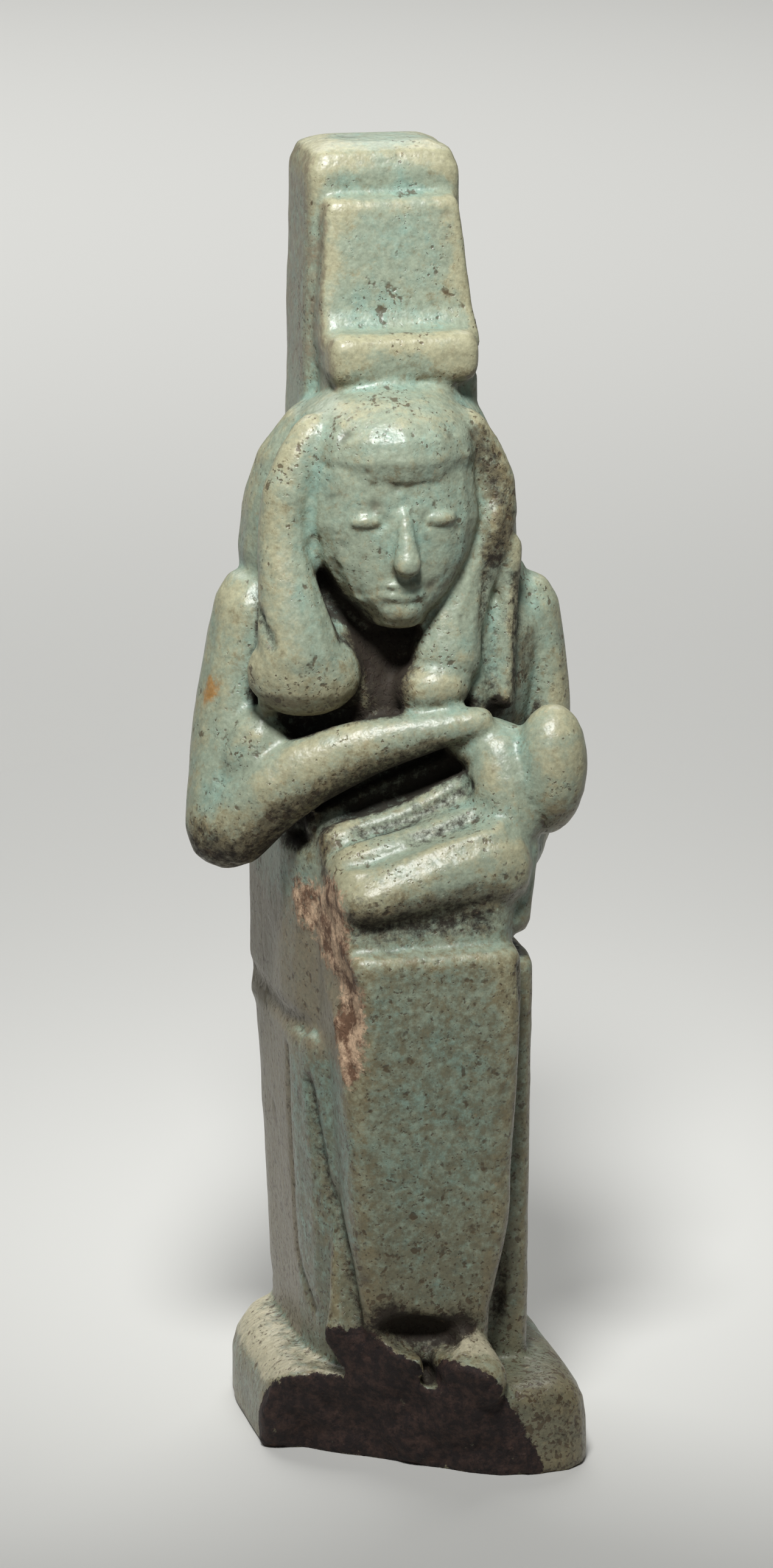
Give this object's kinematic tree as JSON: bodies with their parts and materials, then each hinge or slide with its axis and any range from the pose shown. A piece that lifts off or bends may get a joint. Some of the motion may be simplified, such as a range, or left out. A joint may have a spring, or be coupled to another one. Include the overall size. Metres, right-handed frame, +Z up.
{
  "type": "faience amulet",
  "caption": "Small moulded faience amulet: a seated mother goddess nursing a child, on a throne with a back pillar and a low plinth that is broken at the front.",
  "frame": {"origin": "middle of the plinth's flat underside, as it was before its front broke", "axes": "+Z up along the back pillar to the crown, the figure faces -Y, and the goddess's right side is -X"},
  "size_m": [0.0155, 0.0155, 0.05],
  "materials": {
    "faience": "worn pale blue-green alkaline glaze, softly glossy, speckled with brown pits, over a buff to dark brown core that shows at the breaks"
  },
  "bodies": {
    "root": {"amulet": "faience"}
  },
  "joints": []
}
